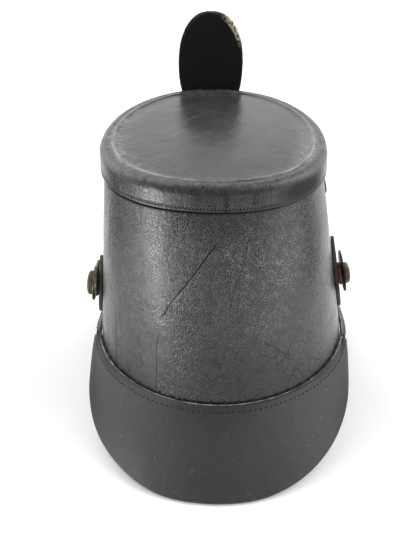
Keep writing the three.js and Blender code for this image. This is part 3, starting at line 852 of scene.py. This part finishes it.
def crown_profile():
    """From the middle of the disc over the ridge and the rolled edge, under the band and back inside."""
    ridge = BLOCK_RADIUS - CROWN.ridge_inset
    shoulder = BLOCK_RADIUS - CROWN.edge
    flat = ridge - 4 * MM

    def top_height(radius):
        dome = CROWN.disc_rise * max(0, 1 - (radius / flat) ** 2)
        rib = CROWN.ridge_height * math.exp(-((radius - ridge) / (1.2 * MM)) ** 2)
        return CROWN.top + dome + rib

    rows = [(r, top_height(r)) for r in steps(0.5 * MM, flat, 4 * MM)]
    rows += [(r, top_height(r)) for r in steps(flat + 0.5 * MM, shoulder - 0.3 * MM, 0.45 * MM)]
    for turn in steps(0, math.pi / 2, 0.2):
        rows.append((shoulder + CROWN.edge * math.sin(turn), CROWN.top - CROWN.edge * (1 - math.cos(turn))))
    for z in steps(CROWN.top - CROWN.edge - 0.5 * MM, CROWN.band_bottom + 0.7 * MM, 0.6 * MM):
        dip = BAND_GROOVE_DEPTH * math.exp(-((z - BAND_GROOVE_Z) / (0.5 * MM)) ** 2)
        rows.append((BLOCK_RADIUS - dip, z))
    inside = BLOCK_RADIUS - CROWN.wall
    rows += [(BLOCK_RADIUS - 0.25 * MM, CROWN.band_bottom + 0.2 * MM)]
    rows += [(BLOCK_RADIUS - 0.8 * MM, CROWN.band_bottom), (inside, CROWN.band_bottom)]
    rows += [(inside, z) for z in steps(CROWN.band_bottom + 1 * MM, CROWN.top - CROWN.edge, 3 * MM)]
    under = CROWN.edge - CROWN.wall
    for turn in steps(math.pi / 2, 0, 0.4)[1:]:
        rows.append((shoulder + under * math.sin(turn), CROWN.top - CROWN.edge + under * math.cos(turn)))
    rows += [(r, top_height(r) - CROWN.wall) for r in steps(flat, 0.5 * MM, 8 * MM)]
    return rows


def make_crown(finish):
    crown = draw_leather("crown_lid", crown_profile())
    edit(crown)
    for above in (True, False):
        pick(crown, lambda p: math.hypot(p.x, p.y) < 1 * MM and (p.z > CROWN.top + 1 * MM) == above)
        bpy.ops.mesh.merge(type="CENTER")
    put_down()
    press_on(crown, on_crown)
    close_up(crown)
    uneven(crown, 0.5 * MM, 28 * MM, "crown_waves")
    smooth_over(crown)
    return mount(crown, finish, "varnished_leather", "crown")


def make_peak(name, node, finish):
    peak = copy_of(node, name)
    round_off(peak, 0.45 * MM)
    apply(peak, "SUBSURF", levels=2, render_levels=2)
    uneven(peak, 0.7 * MM, 40 * MM, name + "_waves")
    smooth_over(peak, 60)
    return mount(peak, finish, "peak_leather", node)


def make_strap(finish):
    strap = copy_of("chin_strap", "chin_strap_leather")
    round_off(strap, 0.4 * MM, 50)
    smooth_over(strap, 60)
    return mount(strap, finish, "strap_leather", "chin_strap")


def make_badge(finish):
    badge = copy_of("field_badge", "badge_oval")
    apply(badge, "REMESH", mode="VOXEL", voxel_size=0.8 * MM, use_smooth_shade=True)
    uneven(badge, 0.5 * MM, 12 * MM, "felt_lumps")
    uneven(badge, 0.35 * MM, 1.1 * MM, "felt_nap")
    smooth_over(badge, 80)
    return mount(badge, finish, "badge_cloth", "field_badge")


# ---- stitching -------------------------------------------------------------------------


def one_stitch(length, radius):
    """A short thread, pulled down into the leather at its ends."""
    put_down()
    bpy.ops.mesh.primitive_uv_sphere_add(segments=8, ring_count=6, radius=radius)
    stitch = bpy.context.object
    bpy.ops.object.mode_set(mode="EDIT")
    bpy.ops.transform.resize(value=(length / radius / 2, 1, STITCH_FLATNESS))
    bpy.ops.object.mode_set(mode="OBJECT")
    return stitch


def sew(name, path, kind, finish, slot):
    """Sets stitches of a kind along a path of (place, outward)."""
    pattern = one_stitch(kind.length, kind.radius)
    stitches = []
    for place, heading, outward in path_spots(path, kind):
        across = outward.cross(heading).normalized()
        along = across.cross(outward).normalized()
        turn = Matrix((along, across, outward)).transposed().to_4x4()
        stitch = bpy.data.objects.new(name, pattern.data.copy())
        bpy.context.scene.collection.objects.link(stitch)
        stitch.data.transform(Matrix.Translation(place) @ turn)
        stitches.append(stitch)
    bpy.data.objects.remove(pattern)
    put_down()
    for stitch in stitches:
        stitch.select_set(True)
    bpy.context.view_layer.objects.active = stitches[0]
    bpy.ops.object.join()
    row = bpy.context.object
    row.name = name
    bpy.ops.object.shade_smooth()
    return mount(row, finish, slot)


def path_spots(path, kind):
    """A (place, heading, outward) for each stitch, a pitch apart along a path of (place, outward)."""
    spots = []
    travelled, due = 0.0, kind.pitch / 2
    for (a, outward), (b, _) in zip(path, path[1:]):
        run = b - a
        while travelled + run.length >= due:
            at = a + run * ((due - travelled) / run.length)
            turn = kind.tilt + kind.sway * math.sin(len(spots) * 2.4)
            spots.append((at, Matrix.Rotation(turn, 3, outward) @ run, outward))
            due += kind.pitch
        travelled += run.length
    return spots


def outward_at(point_of, angle, z):
    step = 0.01
    along = point_of(angle + step, z) - point_of(angle - step, z)
    up = point_of(angle, z + 1 * MM) - point_of(angle, z - 1 * MM)
    return up.cross(along).normalized()


def seam_path(seam, below, out):
    """A line along a peak's seam, a height below the seam's edge, out from the body."""
    half_angle = math.acos(seam.front * seam.corner_y / FOOT.half_length)
    middle = 0 if seam.front > 0 else math.pi
    path = []
    for i in range(SEAM_STEPS + 1):
        turn = mix(-half_angle, half_angle, mix(SEAM_MARGIN, 1 - SEAM_MARGIN, i / SEAM_STEPS))
        z = seam_height(seam, turn, half_angle) - below
        angle = middle + turn
        path.append((body_point(angle, z, out), outward_at(body_point, angle, z)))
    return path


def dropped_on(piece, path):
    """The path let fall straight down onto a piece."""
    fallen = []
    for place, _ in path:
        hit, where, outward, _ = piece.ray_cast(place + Vector((0, 0, 20 * MM)), Vector((0, 0, -1)))
        if hit:
            fallen.append((where, outward))
    return fallen


def on_band(angle, z):
    return crown_point(angle, z, CROWN.clear)


def band_path():
    """The line round the crown's band that its stitches lie in."""
    path = []
    for i in range(BAND_STEPS + 1):
        angle = math.pi * 2 * i / BAND_STEPS
        place = crown_point(angle, BAND_GROOVE_Z, CROWN.clear - 0.2 * MM)
        path.append((place, outward_at(on_band, angle, BAND_GROOVE_Z)))
    return path


def make_stitching(neck_peak, front_peak, waxed):
    for name, seam, peak in (("neck_seam", NECK_SEAM, neck_peak), ("front_seam", FRONT_SEAM, front_peak)):
        row = dropped_on(peak, seam_path(seam, 0, SEAM_STITCH_OUT))
        sew(name + "_stitches", row, SEAM_STITCH, waxed, "peak_leather")
        edge = seam_path(seam, -0.2 * MM, FLANGE.out - 0.8 * MM)
        sew(name + "_whipping", edge, WHIPPING, waxed, "peak_leather")
    faded = thread("faded_band_thread", (0.08, 0.08, 0.08), (0.28, 0.28, 0.27))
    sew("band_stitches", band_path(), BAND_STITCH, faded, "varnished_leather")


def make_cut_edges():
    """The bare cut edge of each peak's flange, a thin bead along the seam's top."""
    finish = cut_edge()
    for name, seam in (("neck_cut_edge", NECK_SEAM), ("front_cut_edge", FRONT_SEAM)):
        path = seam_path(seam, 0.15 * MM, FLANGE.out - 0.25 * MM)
        put_down()
        line = bpy.data.curves.new(name, "CURVE")
        line.dimensions = "3D"
        line.bevel_depth = EDGE_BEAD_RADIUS
        line.bevel_resolution = 2
        line.use_fill_caps = True
        run = line.splines.new("POLY")
        run.points.add(len(path) - 1)
        for point, (place, _) in zip(run.points, path):
            point.co = (*place, 1)
        bead = bpy.data.objects.new(name, line)
        bpy.context.scene.collection.objects.link(bead)
        take_up(bead)
        bpy.ops.object.convert(target="MESH")
        bead = bpy.context.object
        smooth_over(bead, 80)
        mount(bead, finish, "peak_leather")


# ---- the hat ---------------------------------------------------------------------------

set_camera()
lay_floor()
set_light()
for card in CARDS:
    dark_card(card.name, card.start, card.end)

make_shell(body_leather())
make_crown(crown_leather())
satin = peak_leather()
neck_peak = make_peak("neck_peak_leather", "neck_peak", satin)
front_peak = make_peak("front_peak_leather", "front_peak", satin)
brown = strap_leather()
make_strap(brown)
make_badge(badge_cloth())
waxed = thread("black_waxed_thread", (0.004, 0.004, 0.004), (0.02, 0.02, 0.019))
make_stitching(neck_peak, front_peak, waxed)
make_cut_edges()

nodes = frame["nodes"]
dark_iron = metal("dark_iron", (0.02, 0.02, 0.019), (0.07, 0.066, 0.06), (0.06, 0.035, 0.02), 0.4)
brass = metal("tarnished_brass", (0.07, 0.065, 0.045), (0.30, 0.28, 0.20), (0.10, 0.07, 0.04), 0.5)
rusty = metal("rusty_knob", (0.10, 0.065, 0.045), (0.28, 0.20, 0.15), (0.13, 0.07, 0.045), 1.0)
dark_iron.dress(nodes["left_vent"], nodes["right_vent"], nodes["right_rosette_plate"], nodes["badge_stem"])
brass.dress(nodes["left_disc"], nodes["left_rosette_plate"], nodes["right_knob"])
rusty.dress(nodes["left_knob"])
painted_ring().dress(nodes["right_ring"])
brown.dress(nodes["badge_loop"])
